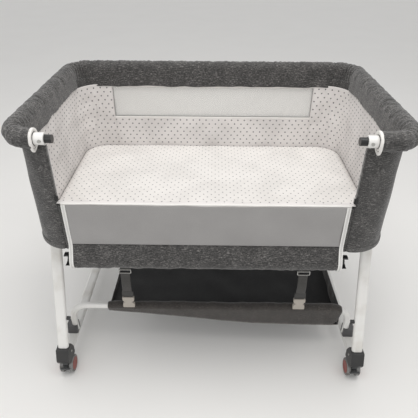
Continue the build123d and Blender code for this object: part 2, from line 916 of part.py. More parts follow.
def strap_rings():
    """Flat metal rings that join the two lengths of webbing."""
    rings = []
    for x in strap_places:
        plane = Plane(origin=(x, strap_depth_place, ring_height), x_dir=(1, 0, 0),
                      z_dir=(0, -1, 0))
        outline = RectangleRounded(ring_width, ring_tall, 3)
        hole = RectangleRounded(ring_width - 2 * ring_wire, ring_tall - 2 * ring_wire, 1.5)
        ring = extrude(plane * (outline - hole), ring_wire, both=True)
        rings.append(ring)
    return rings


def strap_buckles():
    """Side release buckles at the foot of the straps: a wide bar that holds the webbing, a
    waist and a wide foot. A bar adjuster sits on the webbing above each."""
    half, waist = buckle_width / 2, buckle_waist / 2
    one_side = [(half, 0.0), (half, -0.30), (waist, -0.44), (waist, -0.52), (half, -0.66),
                (half, -1.0)]
    corners = [(across, share * buckle_height) for across, share in one_side]
    corners += [(-across, down) for across, down in reversed(corners)]
    pieces = []
    for x in strap_places:
        plane = Plane(origin=(x, strap_depth_place, buckle_top), x_dir=(1, 0, 0),
                      z_dir=(0, -1, 0))
        outline = make_face(Polyline(*corners, close=True))
        shell = extrude(plane * outline, buckle_thickness / 2, both=True)
        shell = fillet(shell.edges().filter_by(Axis.Y), 1.5)
        adjuster = box(x - adjuster_width / 2, x + adjuster_width / 2,
                       strap_depth_place - adjuster_thickness / 2,
                       strap_depth_place + adjuster_thickness / 2, adjuster_bottom,
                       adjuster_bottom + adjuster_height)
        adjuster = fillet(adjuster.edges().filter_by(Axis.Y), 2.0)
        slot = box(x - strap_width / 2 - 0.5, x + strap_width / 2 + 0.5,
                   strap_depth_place - strap_thickness / 2 - 0.3,
                   strap_depth_place + strap_thickness / 2 + 0.3, strap_end - 0.5,
                   adjuster_bottom + adjuster_height + 1)
        pieces += [shell - slot, adjuster - slot]
    return pieces


def save(name, shape):
    """Write one node. A list of solids is written as one group."""
    if isinstance(shape, list):
        shape = Compound(children=[solid for item in shape for solid in item.solids()])
    export_step(shape, f"parts/{name}.step")


def main():
    os.makedirs("parts", exist_ok=True)
    ring = wall_ring()
    save("rail_tube", rail_tube())
    save("rail_pad_back", back_pad())
    save("rail_end_bindings", pad_end_rings())
    save("stub_sleeves", stub_sleeves())
    save("stub_plugs", stub_plugs())
    save("back_wall", back_wall(ring))
    save("back_band", back_band(ring))
    save("front_wall", front_wall())
    save("mesh_window", mesh_window())
    save("lining", lining())
    save("base_frame", base_frame())
    save("bottom_cover", bottom_cover())
    save("base_board", base_board())
    save("mattress", mattress())
    save("drop_mesh", drop_mesh())
    save("drop_binding", drop_binding())
    save("drop_zip_tapes", drop_zip_tapes())
    save("drop_rail_tube", drop_rail_tube())
    save("drop_rail_cups", drop_rail_cups())
    save("drop_pad", drop_pad())
    save("foot_housings", foot_housings())
    save("crossbar_blocks", crossbar_blocks())
    save("leg_knobs", leg_knobs())
    save("housing_screws", housing_screws())
    save("storage_tray", storage_tray())
    save("strap_webbing", strap_webbing())
    save("strap_rings", strap_rings())
    save("strap_buckles", strap_buckles())
    for side, end in ((LEFT, "left"), (RIGHT, "right")):
        save(f"rail_pad_{end}", end_pad(side))
        save(f"end_wall_{end}", end_wall(side, ring))
        save(f"end_frame_{end}", end_frame(side))
        save(f"snap_button_{end}", snap_button(side))
        save(f"zip_slider_{end}", zip_slider(side))
        save(f"foot_rail_{end}", foot_rail(side))
        for depth, row in ((FRONT, "front"), (REAR, "rear")):
            save(f"leg_{row}_{end}", leg(side, depth))
            save(f"caster_body_{row}_{end}",
                 [caster_body(side, depth), caster_axle(side, depth)])
            save(f"caster_wheels_{row}_{end}", caster_wheels(side, depth))
            save(f"caster_discs_{row}_{end}", caster_discs(side, depth))
        save(f"caster_brake_front_{end}", caster_brake(side, FRONT))
    for depth, row in ((FRONT, "front"), (REAR, "rear")):
        save(f"crossbar_{row}", crossbar(depth))


main()
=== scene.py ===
import math

import bmesh
import bpy
import numpy as np
from mathutils import Matrix


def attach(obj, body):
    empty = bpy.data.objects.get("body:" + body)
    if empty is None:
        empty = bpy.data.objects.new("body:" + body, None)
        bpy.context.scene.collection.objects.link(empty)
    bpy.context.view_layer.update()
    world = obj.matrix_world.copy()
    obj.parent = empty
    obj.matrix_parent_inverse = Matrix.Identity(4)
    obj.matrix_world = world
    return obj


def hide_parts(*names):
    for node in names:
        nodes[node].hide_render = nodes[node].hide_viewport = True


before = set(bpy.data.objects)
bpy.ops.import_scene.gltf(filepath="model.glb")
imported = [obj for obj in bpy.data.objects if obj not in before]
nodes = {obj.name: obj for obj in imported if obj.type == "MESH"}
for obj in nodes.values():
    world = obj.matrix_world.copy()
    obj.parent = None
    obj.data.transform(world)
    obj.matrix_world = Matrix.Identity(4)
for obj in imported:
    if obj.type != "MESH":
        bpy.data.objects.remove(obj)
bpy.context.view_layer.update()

# Camera: a little above head height of someone kneeling at the open side, looking down into the
# bassinet over the lowered drop side.
lens = bpy.data.cameras.new("lens")
lens.lens, lens.sensor_width = 37.9, 36.0
camera = bpy.data.objects.new("camera", lens)
bpy.context.scene.collection.objects.link(camera)
bpy.context.scene.camera = camera
camera.matrix_world = (Matrix.Translation((0.004, -1.095, 1.100))
                       @ Matrix.Rotation(0.010, 4, "Z")
                       @ Matrix.Rotation(math.radians(90 - 33.1), 4, "X")
                       @ Matrix.Rotation(0.005, 4, "Z"))


# Stand tubes: flat oval legs and foot rails and two bent round crossbars, mild steel with a white
# powder coat, welded and bolted up. The coat has a fine orange peel and collects a little dust.
class Thread:
    """One shader socket. Sums written with it add Math nodes, and node() adds any other kind."""

    def __init__(self, tree, socket):
        self.tree, self.socket = tree, socket

    def node(self, kind, settings=(), out=0, **feeds):
        made = self.tree.nodes.new("ShaderNode" + kind)
        for name, value in dict(settings).items():
            if name == "stops":
                while len(made.color_ramp.elements) < len(value):
                    made.color_ramp.elements.new(1.0)
                for stop, (where, colour) in zip(made.color_ramp.elements, value):
                    stop.position, stop.color = where, colour
            else:
                setattr(made, name, value)
        for name, value in feeds.items():
            key = int(name[2:]) if name.startswith("at") else name.replace("_", " ")
            if isinstance(value, Thread):
                self.tree.links.new(value.socket, made.inputs[key])
            else:
                made.inputs[key].default_value = value
        return Thread(self.tree, made.outputs[out])

    def maths(self, operation, a, b=0.0, c=0.0):
        return self.node("Math", {"operation": operation}, at0=a, at1=b, at2=c)

    def __add__(self, other):
        return self.maths("ADD", self, other)

    def __mul__(self, other):
        return self.maths("MULTIPLY", self, other)

    def __sub__(self, other):
        return self.maths("SUBTRACT", self, other)

    def __rsub__(self, other):
        return self.maths("SUBTRACT", other, self)

    def __truediv__(self, other):
        return self.maths("DIVIDE", self, other)

    __radd__, __rmul__ = __add__, __mul__

    def noise(self, scale, detail=2.0, stretch=(1, 1, 1)):
        """Soft noise on this vector, from 0 to 1. Scale is in patches a metre."""
        wide = self.node("Mapping", Vector=self, Scale=tuple(scale * s for s in stretch))
        return self.node("TexNoise", Vector=wide, Scale=1.0, Detail=detail)

    def step(self, low, high, to_low=0.0, to_high=1.0):
        """This number eased from to_low to to_high as it goes from low to high."""
        return self.node("MapRange", {"interpolation_type": "SMOOTHSTEP"}, Value=self,
                         From_Min=low, From_Max=high, To_Min=to_low, To_Max=to_high)

    def blend(self, a, b):
        """Colour a where this is 0, colour b where it is 1."""
        return self.node("Mix", {"data_type": "RGBA"}, out=2, at0=self, at6=a, at7=b)

    def bump(self, distance, strength=1.0):
        return self.node("Bump", Height=self, Distance=distance, Strength=strength)

    def halves(self):
        """The two directions of a place along the cloth."""
        return (self.node("SeparateXYZ", Vector=self),
                self.node("SeparateXYZ", out=1, Vector=self))

    def sine(self, rate):
        return self.maths("SINE", self * rate)

    def into(self, shader, socket):
        self.tree.links.new(self.socket, shader.inputs[socket])


def tone(red, green, blue):
    """A colour given as it looks on screen, 0 to 255, in the shader's own linear measure."""
    share = np.array([red, green, blue]) / 255
    linear = np.where(share <= 0.04045, share / 12.92, ((share + 0.055) / 1.055) ** 2.4)
    return (*map(float, linear), 1.0)


def finish(name, colour, roughness, **fixed):
    """A new material with its shader, its place on the object and its place along the cloth."""
    made = bpy.data.materials.new(name)
    made.use_nodes = True
    tree = made.node_tree
    shader = tree.nodes["Principled BSDF"]
    shader.inputs["Base Color"].default_value = colour
    shader.inputs["Roughness"].default_value = roughness
    for socket, value in fixed.items():
        shader.inputs[socket.replace("_", " ")].default_value = value
    where = tree.nodes.new("ShaderNodeTexCoord")
    return (made, shader, Thread(tree, where.outputs["Object"]),
            Thread(tree, where.outputs["UV"]))


def dress(material, slot, *names):
    """Give CAD nodes their finish."""
    for name in names:
        nodes[name].data.materials.clear()
        nodes[name].data.materials.append(material)


powder, shader, spot, _ = finish("powder_coat", tone(228, 227, 224), 0.35,
                                 Coat_Weight=0.25, Coat_Roughness=0.2)
dust = spot.noise(14, 4).step(0.45, 0.75)
dust.blend(tone(230, 229, 226), tone(212, 209, 203)).into(shader, "Base Color")
(0.3 + 0.22 * dust).into(shader, "Roughness")
spot.noise(700, 1).bump(0.0002, 0.25).into(shader, "Normal")
dress(powder, "white_steel", "leg_front_left", "leg_front_right", "leg_rear_left",
      "leg_rear_right", "foot_rail_left", "foot_rail_right", "crossbar_front",
      "crossbar_rear", "base_frame", "end_frame_left", "end_frame_right")

# Foot housings, leg bolt caps and crossbar blocks: moulded nylon with a spark-eroded grain, black
# at the feet and mid grey on the blocks. The housings' screws are plated steel.
def moulded(name, colour, pale, roughness, grain=1100):
    """Moulded plastic: fine grain, soft mottling, and scuffs that turn it paler."""
    made, shader, spot, _ = finish(name, colour, roughness)
    scuff = spot.noise(60, 5, (1, 1, 3)).step(0.62, 0.8)
    mottle = spot.noise(25, 3)
    patch = mottle.step(0.3, 0.8, 0, 0.35) + 0.5 * scuff
    patch.blend(colour, pale).into(shader, "Base Color")
    (roughness + 0.2 * scuff - 0.1 * mottle).into(shader, "Roughness")
    spot.noise(grain, 1).bump(0.0002, 0.35).into(shader, "Normal")
    return made


black_nylon = moulded("black_nylon", tone(34, 34, 35), tone(58, 57, 56), 0.5)
grey_nylon = moulded("grey_nylon", tone(70, 70, 72), tone(96, 95, 94), 0.5)
dress(black_nylon, "black_plastic", "foot_housings", "leg_knobs")
dress(grey_nylon, "grey_plastic", "crossbar_blocks")

plated, shader, spot, _ = finish("zinc_plate", tone(176, 176, 174), 0.35, Metallic=1.0)
brushed = spot.noise(300, 2, (1, 6, 1))
brushed.blend(tone(160, 160, 158), tone(196, 195, 190)).into(shader, "Base Color")
(0.25 + 0.25 * brushed).into(shader, "Roughness")
dress(plated, "bare_steel", "housing_screws", "rail_tube", "drop_rail_tube",
      "snap_button_left", "snap_button_right")

# Casters: nylon body and brake lever, two rubbery grey wheels, and red discs clipped into their
# outer faces. The treads pick up dirt from the floor.
caster_grey = moulded("caster_grey", tone(78, 79, 80), tone(105, 105, 104), 0.45)
tread, shader, spot, _ = finish("wheel_rubber", tone(120, 120, 119), 0.55)
dirt = spot.noise(90, 5).step(0.4, 0.75)
dirt.blend(tone(128, 128, 127), tone(92, 89, 85)).into(shader, "Base Color")
(0.45 + 0.3 * dirt).into(shader, "Roughness")
spot.noise(900, 1).bump(0.0002, 0.3).into(shader, "Normal")
disc_red = moulded("disc_red", tone(132, 40, 28), tone(150, 70, 56), 0.4)
for end in ("front_left", "front_right", "rear_left", "rear_right"):
    dress(caster_grey, "caster_plastic", f"caster_body_{end}")
    dress(tread, "wheel_grey", f"caster_wheels_{end}")
    dress(disc_red, "wheel_red", f"caster_discs_{end}")
dress(caster_grey, "caster_plastic", "caster_brake_front_left", "caster_brake_front_right")


# Storage tray: woven polyester, warm grey outside, with its inside painted near black as painted
# shade.
# A soft sleeve on each of the two crossbars hangs to a piped edge, which droops towards the right
# in front. The floor sags.
def grid(*places):
    """Places or cloth measures that may each be a number, a column or a row, as one array."""
    return np.stack(np.broadcast_arrays(*places), -1)


def cloth(name, points, uv, body, material):
    """A mesh from a grid of points with a face between each four neighbours. Points that meet
    are merged, so a closed form closes, and its faces turn outwards."""
    rows, columns = points.shape[:2]
    number = np.arange(rows * columns).reshape(rows, columns)
    faces = np.stack([number[:-1, :-1], number[1:, :-1], number[1:, 1:], number[:-1, 1:]],
                     -1).reshape(-1, 4)
    mesh = bpy.data.meshes.new(name)
    mesh.from_pydata(points.reshape(-1, 3), [], faces.tolist())
    layer = mesh.uv_layers.new(name="along_cloth")
    corners = np.broadcast_to(uv, (rows, columns, 2)).reshape(-1, 2)[faces.ravel()]
    layer.data.foreach_set("uv", corners.astype(np.float32).ravel())
    shape = bmesh.new()
    shape.from_mesh(mesh)
    bmesh.ops.remove_doubles(shape, verts=shape.verts, dist=2e-6)
    bmesh.ops.recalc_face_normals(shape, faces=shape.faces)
    shape.to_mesh(mesh)
    shape.free()
    mesh.polygons.foreach_set("use_smooth", np.ones(len(mesh.polygons), bool))
    mesh.materials.append(material)
    made = bpy.data.objects.new(name, mesh)
    bpy.context.scene.collection.objects.link(made)
    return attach(made, body)


def ripple(u, v, size, seed, waves=12):
    """Soft unevenness from about -1 to 1: a sum of sine waves in chance directions, their
    lengths near size."""
    chance = np.random.default_rng(seed)
    turn, start = chance.uniform(0, 2 * np.pi, (2, waves))
    length = size * chance.uniform(0.6, 1.8, waves)
    across = u[..., None] * np.cos(turn) + v[..., None] * np.sin(turn)
    return np.sin(2 * np.pi * across / length + start).sum(-1) / math.sqrt(waves)


def two_faced(front, back):
    """The front and back faces of a thin piece as one closed loop for each row, with both ends
    closed on the middle between the faces."""
    loop = np.concatenate([front, back[:, ::-1], front[:, :1]], 1)
    middle = (front + back) / 2
    ends = np.concatenate([middle, middle[:, ::-1], middle[:, :1]], 1)
    return np.concatenate([ends[:1], loop, ends[-1:]])


def end_closed(rows):
    """Rows of a surface with each end of it drawn together to its middle."""
    ends = rows.mean(1, keepdims=True) + 0 * rows
    return np.concatenate([ends[:1], rows, ends[-1:]])


def twice_ended(uv):
    """Cloth places for a closed surface: its end rows repeated."""
    return np.concatenate([uv[:1], uv, uv[-1:]])


def loop_uv(u, v):
    """Cloth places for a two-faced piece: the same on both of its faces."""
    face = grid(u, v)
    return twice_ended(np.concatenate([face, face[:, ::-1], face[:, :1]], 1))


def woven(name, dark, middle, light, coarse=1.0, sheen=0.25):
    """Melange cloth: pale and dark yarns in short streaks along the weft and the warp, a plain
    weave under them, and slow changes of shade."""
    made, shader, _, run = finish(name, middle, 0.9, Sheen_Weight=sheen, Sheen_Roughness=0.5)
    weft = run.noise(1, 3, (150 / coarse, 620 / coarse, 1))
    warp = run.noise(1, 3, (620 / coarse, 190 / coarse, 1))
    cloud = run.noise(26, 4)
    yarn = weft.step(0.34, 0.68) * 0.6 + warp.step(0.36, 0.7) * 0.4
    streak = run.noise(1, 3, (55 / coarse, 420 / coarse, 1)).step(0.4, 0.72)
    shade = yarn * 0.75 + streak * 0.3 + (cloud - 0.5) * 0.5
    shade.node("ValToRGB", {"stops": ((0.12, dark), (0.5, middle), (0.88, light))},
               Fac=shade).into(shader, "Base Color")
    across, along = run.halves()
    crossing = across.sine(6283.2 / coarse) * along.sine(6283.2 / coarse)
    (crossing * 0.35 + yarn).bump(0.0003, 0.4).into(shader, "Normal")
    return made


tray_out = woven("tray_weave", tone(44, 41, 39), tone(62, 58, 55), tone(92, 87, 83), 0.7)
# painted shade: the inside cloth is near black to stand in for the shade inside the tray
tray_in_painted_shade = woven("tray_inside_painted_shade", tone(17, 17, 18), tone(28, 28, 29), tone(44, 43, 43), 0.8)
tray_left, tray_right, rear_low = -0.294, 0.378, 0.136
bar_y, bar_z, bar_radius = 0.185, 0.172, 0.0092


def bar_height(x):
    """Height of the crossbar's middle line: level, then down the bends at its ends."""
    past = np.clip(np.abs(x) - 0.352, 0, 0.05)
    return bar_z - 0.05 + np.sqrt(0.05 ** 2 - past ** 2)


def hem_edge(x):
    """Height of the tray's lower front edge, which droops to the right."""
    return np.interp(x, [-0.30, -0.2, -0.084, 0.03, 0.12, 0.25, 0.38],
                     [0.158, 0.149, 0.136, 0.122, 0.114, 0.110, 0.109])


for row, depth in (("front", -1), ("rear", 1)):
    x = np.linspace(tray_left, tray_right, 200)[:, None]
    turn = np.linspace(-np.pi / 2, 1.5 * np.pi, 65)[None, :]
    low = hem_edge(x) if depth < 0 else rear_low + 0 * x
    below = np.clip(-np.sin(turn), 0, 1)
    gather = (0.0009 * np.sin(2 * np.pi * x / 0.031 + 2 * np.sin(9 * x))
              * (0.3 + 0.7 * np.cos(turn - 1.2) ** 2))
    end = np.minimum(x - tray_left, tray_right - x)
    pucker = 0.0026 * np.exp(-end / 0.005)
    uneven = 0.0010 * ripple(x, turn * 0.012, 0.045, 3 + depth)
    thick = np.maximum(0.0128 + gather + uneven - pucker, bar_radius + 0.0008)
    hang = np.maximum(bar_height(x) - low, 0.0126)
    hang = hang - (hang - 0.0124) * np.exp(-end / 0.006)
    out = thick * np.cos(turn) * (1 - 0.45 * below) + 0.0045 * below ** 2
    up = np.where(np.sin(turn) < 0, -hang * below, thick * np.sin(turn))
    sleeve = np.concatenate([out, (bar_radius + 0.0003) * np.cos(turn) + 0 * out[::-1]])
    rise = np.concatenate([up, (bar_radius + 0.0003) * np.sin(turn) + 0 * up])
    sleeve, rise = (np.concatenate([a, a[:1]]) for a in (sleeve, rise))
    place = np.concatenate([x, x[::-1], x[:1]]) + 0 * turn
    points = np.stack([place, depth * (bar_y + sleeve), bar_height(place) + rise], -1)
    along = np.cumsum(np.hypot(np.diff(sleeve, prepend=sleeve[:, :1]),
                               np.diff(rise, prepend=rise[:, :1])), 1)
    hem = cloth(f"tray_hem_{row}", points, np.stack([place, along], -1), "stand", tray_out)

    # Piping along the lower edge of the tray's side
    x = np.linspace(tray_left + 0.004, tray_right - 0.004, 150)[:, None]
    turn = np.linspace(0, 2 * np.pi, 11)[None, :]
    low = hem_edge(x) if depth < 0 else rear_low + 0 * x
    shown = np.clip((x + 0.10) / 0.25, 0.35, 1) if depth < 0 else 0.35
    cord_radius = shown * 0.0019 * np.sqrt(np.clip(1 - ((x - 0.042) / 0.3321) ** 40, 0, 1))
    points = grid(x, depth * (bar_y + 0.0055) + cord_radius * np.cos(turn),
                  low + cord_radius * np.sin(turn))
    if depth < 0:
        piped = woven("tray_piping", tone(86, 82, 79), tone(112, 108, 104), tone(140, 135, 130),
                      0.7)
    bead = cloth(f"tray_piping_{row}", points, grid(x, turn * 0.002), "stand", piped)

x = np.linspace(tray_left + 0.001, tray_right - 0.001, 150)[:, None]
across = np.linspace(-1, 1, 60)[None, :]
edge = hem_edge(x) * (1 - across) / 2 + rear_low * (1 + across) / 2
sag = 0.012 * (1 - across ** 2) * (1 - ((x - 0.042) / 0.36) ** 6)
z = edge + 0.0005 - sag + 0.0012 * ripple(x, across * 0.19, 0.09, 21)
y = across * (bar_y + 0.004)
front = grid(x, y, z)
# the tray floor uses the near-black painted-shade cloth
floor_of_tray = cloth("tray_floor_cloth", two_faced(front, front - np.array([0, 0, 0.0015])),
                      loop_uv(x, y), "stand", tray_in_painted_shade)
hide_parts("storage_tray")

for end, end_x in (("left", tray_left + 0.002), ("right", tray_right - 0.004)):
    across = np.linspace(-1, 1, 50)[:, None]
    rise = np.linspace(0, 1, 10)[None, :]
    low = hem_edge(np.array(end_x)) * (1 - across) / 2 + rear_low * (1 + across) / 2
    low = low - 0.010 * (1 - across ** 2)
    top = 0.166 - 0.006 * (1 - across ** 2)
    y = across * (bar_y + 0.006) + 0 * rise
    z = low * (1 - rise) + top * rise
    lean = end_x + 0.002 * ripple(y, z, 0.07, 31) * np.sin(np.pi * rise)
    front = grid(lean, y, z)
    closed = cloth(f"tray_end_{end}", two_faced(front, front + np.array([0.0012, 0, 0])),
                   loop_uv(y, z), "stand", tray_out)

# Walls: foam board sewn into melange cloth. Each end wall is one padded piece that turns both
# corners, from the zip of the front opening round to the mesh window in the back.
melange = woven("melange_cloth", tone(38, 37, 37), tone(68, 67, 66), tone(128, 125, 123), 0.95)
rail_x, rail_y, rail_z = 0.428, 0.2635, 0.726
wall_low, wall_top = 0.430, 0.7032
window_low, window_high, window_edge = 0.578, 0.678, 0.311
opening, strip_edge = -0.012, 0.339
wall_plan, inside_plan = (0.430, 0.2535, 0.085), (0.4085, 0.2415, 0.070)


def round_plan(half_width, half_depth, corner, s):
    """A rounded rectangle by distance s from the middle of the front, round the left end to
    the middle of the back: straight, quarter circle, straight, quarter circle, straight. Gives
    x, y and the outward direction."""
    straight, run = half_width - corner, 2 * (half_depth - corner)
    quarter = corner * np.pi / 2
    first = np.clip((s - straight) / corner, 0, np.pi / 2)
    second = np.clip((s - straight - quarter - run) / corner, 0, np.pi / 2)
    side = np.clip(s - straight - quarter, 0, run)
    last = np.clip(s - straight - 2 * quarter - run, 0, None)
    x = -np.minimum(s, straight) - corner * np.sin(first) + corner * (1 - np.cos(second)) + last
    y = -half_depth + corner * (1 - np.cos(first)) + side + corner * np.sin(second)
    heading = first + second
    return x, y, -np.sin(heading), -np.cos(heading)


def plan_length(half_width, half_depth, corner):
    """Distance along that half of the plan."""
    return 2 * (half_width - corner) + 2 * (half_depth - corner) + corner * np.pi


wall_run = plan_length(*wall_plan)
for end, side in (("left", 1), ("right", -1)):
    start = strip_edge - side * opening
    s = np.linspace(start, wall_run - window_edge - 0.0003, 300)[:, None]
    rise = np.linspace(0, 1, 70)[None, :]
    x, y, out_x, out_y = round_plan(*wall_plan, s)
    sides = np.abs(out_y)
    thick = 0.0215 * (1 - sides) + 0.012 * sides
    z = wall_low + (wall_top - wall_low) * rise
    soft = np.sin(np.pi * rise.clip(0, 1)) ** 0.5
    belly = 0.0015 * soft * np.clip((s - start) / 0.03, 0, 1) ** 0.5
    crease = 0.0011 * ripple(s, 0.6 * z, 0.055, 5 + side) * soft
    slant = (s - start) * 0.9 + (z - 0.70)
    pull = -0.0016 * np.exp(-(slant / 0.006) ** 2) * np.clip(1 - (s - start) / 0.10, 0, 1)
    grow = belly + crease + pull
    edge = np.sqrt(np.clip(np.minimum(rise, 1 - rise) * 60, 0, 1))
    grow = grow - 0.003 * (1 - edge)
    front = grid(side * (x + grow * out_x), y + grow * out_y, z)
    back = grid(side * (x - thick * out_x), y - thick * out_y, z)
    wall = cloth(f"end_wall_cloth_{end}", two_faced(front, back), loop_uv(s, z), "bassinet",
                 melange)
    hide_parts(f"end_wall_{end}")

    # Bound hem round the foot of the end wall, a shade paler where its weave is stretched
    turn = np.linspace(0, 2 * np.pi, 17)[None, :]
    tall = np.sign(np.sin(turn)) * np.abs(np.sin(turn)) ** 0.6 * 0.0065
    proud = np.sign(np.cos(turn)) * np.abs(np.cos(turn)) ** 0.6 * 0.0022
    shrink = np.sqrt(np.clip(1 - ((s - s.mean()) / (s[-1] - s.mean())) ** 60, 0, 1))
    reach = 0.0006 + proud * shrink
    points = grid(side * (x + reach * out_x), y + reach * out_y,
                  wall_low + 0.0068 + tall * shrink)
    if side > 0:
        hem_cloth = woven("hem_cloth", tone(56, 55, 54), tone(88, 87, 86),
                          tone(124, 122, 120), 0.7)
    bound = cloth(f"wall_hem_{end}", points, grid(s, turn * 0.004), "bassinet", hem_cloth)

# Back wall, window band and low front wall: flat padded panels of the same cloth, closed at their
# ends by the seams to the end walls.
front_ends = (opening - strip_edge + 0.0003, opening + strip_edge - 0.0003)
panels = (("back_wall", -window_edge, window_edge, 1, wall_low, window_low),
          ("back_band", -window_edge, window_edge, 1, window_high, 0.7055),
          ("front_wall", *front_ends, -1, wall_low, 0.560))
for seed, (node, x0, x1, depth, z0, z1) in enumerate(panels):
    x = np.linspace(x0, x1, 160)[:, None]
    rise = np.linspace(0, 1, 24)[None, :]
    z = z0 + (z1 - z0) * rise
    edge = np.sqrt(np.clip(np.minimum(rise, 1 - rise) * 24, 0, 1))
    edge = edge * np.sqrt(np.clip(np.minimum(x - x0, x1 - x) * 250, 0, 1))
    bulge = 0.001 * ripple(x, z, 0.07, 40 + seed) * edge - 0.002 * (1 - edge)
    front = grid(x, depth * (wall_plan[1] + bulge), z)
    back = grid(x, depth * inside_plan[1] + 0 * bulge, z)
    panel = cloth(f"{node}_cloth", two_faced(front, back), loop_uv(x, z), "bassinet", melange)
    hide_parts(node)


# Lining: thin off-white cotton over wadding, printed with rows of small dots, sewn in round the
# inside of the walls and up to the fabric that hangs from the rail.
def dotted(name, ground, shaded, ink, size, strength):
    """Printed cotton: a fine plain weave with round dots in staggered rows, a little uneven in
    ink, and creases that shade it."""
    made, shader, _, run = finish(name, ground, 0.85, Sheen_Weight=0.1)
    u, v = run.halves()
    apart, row_apart = 0.0205, 0.0128
    row = v / row_apart
    odd = run.maths("FLOORED_MODULO", run.maths("FLOOR", row), 2.0)
    from_u = (run.maths("FRACT", u / apart + odd * 0.5) - 0.5) * apart
    from_v = (run.maths("FRACT", row) - 0.5) * row_apart
    away = run.maths("SQRT", from_u * from_u + from_v * from_v)
    cover = 0.8 + 0.4 * run.noise(300, 2)
    dots = away.step(size - 0.0003, size + 0.0003, 1, 0) * cover * strength
    shade = run.noise(9, 4).step(0.35, 0.7).blend(ground, shaded)
    run.maths("MINIMUM", dots, 1.0).blend(shade, ink).into(shader, "Base Color")
    (u.sine(9000) * v.sine(9000) * 0.3 + run.noise(40, 4) * 6).bump(0.0004, 0.5).into(
        shader, "Normal")
    return made


cotton = dotted("dotted_cotton", tone(224, 220, 218), tone(208, 204, 202), tone(54, 54, 60),
                0.0021, 1.0)


sewn_gap, lining_low, back_line = 0.0006, 0.459, 0.2409
lining_run = plan_length(*inside_plan)
for end, side in (("left", 1), ("right", -1)):
    start = strip_edge - side * opening
    s = np.linspace(start, lining_run - window_edge, 260)[:, None]
    rise = np.linspace(0, 1, 70)[None, :]
    to_back = np.clip((s - lining_run + 0.3672 + 0.16) / 0.12, 0, 1)
    top = 0.692 - 0.0095 * to_back ** 2 * (3 - 2 * to_back)
    z = lining_low + (top - lining_low) * rise
    x, y, out_x, out_y = round_plan(*(size - sewn_gap for size in inside_plan), s)
    soft = np.sin(np.pi * rise) ** 0.6 * np.clip((top - 0.004 - z) / 0.03, 0, 1)
    puff = 0.0012 * (1 + ripple(s, z, 0.075, 50 + side)) * soft
    corner = lining_run - 0.3385 - 0.055
    fold = (0.0050 * np.exp(-((s - corner - 0.03 * rise) / 0.009) ** 2)
            - 0.0016 * np.exp(-((s - corner - 0.03 * rise - 0.022) / 0.012) ** 2)
            + 0.0022 * np.exp(-((s - corner + 0.05 - 0.015 * rise) / 0.012) ** 2)) * soft
    near = np.clip(np.minimum(s - start, s[-1] - s) / 0.01, 0, 1)
    sink = (0.0016 + (puff + fold) * near)
    front = grid(side * (x - sink * out_x), y - sink * out_y, z)
    back = grid(side * x, y, z)
    part = cloth(f"lining_{end}", two_faced(front, back), loop_uv(s, z), "bassinet", cotton)
    if side > 0:
        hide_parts("lining")

for part_name, x0, x1, depth, z1 in (("back", -window_edge, window_edge, 1, window_low),
                                     ("front", opening - strip_edge, opening + strip_edge, -1,
                                      0.5605)):
    x = np.linspace(x0, x1, 200)[:, None]
    rise = np.linspace(0, 1, 40)[None, :]
    z = lining_low + (z1 - lining_low) * rise
    near = np.clip(np.minimum(x - x0, x1 - x) / 0.01, 0, 1) * np.sin(np.pi * rise) ** 0.5
    inner = back_line - 0.0016 - 0.0011 * (1 + ripple(x, z, 0.08, 60)) * near
    front = grid(x, depth * inner, z)
    back = grid(x, depth * back_line, z)
    if depth < 0:
        # Over the top of the low wall and out to the hinge line
        bend = np.radians(np.linspace(8, 90, 9))[None, :]
        over_y = np.concatenate([-0.2440 + 0.0047 * np.cos(bend), [[-0.2480, -0.2520, -0.2552]]],
                                1)
        over_z = np.concatenate([0.5605 + 0.0043 * np.sin(bend), [[0.5650, 0.5649, 0.5646]]], 1)
        over_z = over_z + 0.0004 * ripple(x, over_y, 0.06, 61)
        top = grid(x, over_y, over_z)
        below = grid(x, np.maximum(over_y - 0.0016, -0.2552),
                     np.minimum(over_z - 0.0016, 0.5629))
        front, back = np.concatenate([front, top], 1), np.concatenate([back, below], 1)
        z = np.concatenate([z, 0.5605 + np.cumsum(np.full((1, 12), 0.0012), 1)], 1)
    part = cloth(f"lining_{part_name}", two_faced(front, back),
                 loop_uv(lining_run - np.abs(x) if depth > 0 else x, z), "bassinet", cotton)

# Mesh window: one layer of white polyester net, sewn into the back wall's opening, with a bound
# edge of the lining cotton round it.
net, shader, _, run = finish("window_net", tone(232, 231, 228), 0.8)
u, v = run.halves()
threads = run.maths("ABSOLUTE", (u + v).sine(2094)) * run.maths("ABSOLUTE", (u - v).sine(2094))
threads.step(0.15, 0.5, 0.9, 0.42).into(shader, "Alpha")
threads.bump(0.0003, 0.4).into(shader, "Normal")
x = np.linspace(-window_edge + 0.0005, window_edge - 0.0005, 120)[:, None]
rise = np.linspace(0, 1, 30)[None, :]
z = window_low + 0.0005 + (window_high - window_low - 0.001) * rise
y = 0.2475 + 0.0006 * ripple(x, z, 0.12, 70) * np.sin(np.pi * rise)
front = grid(x, y, z)
window = cloth("window_net", two_faced(front, front + np.array([0, 0.0007, 0])), loop_uv(x, z),
               "bassinet", net)
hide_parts("mesh_window")

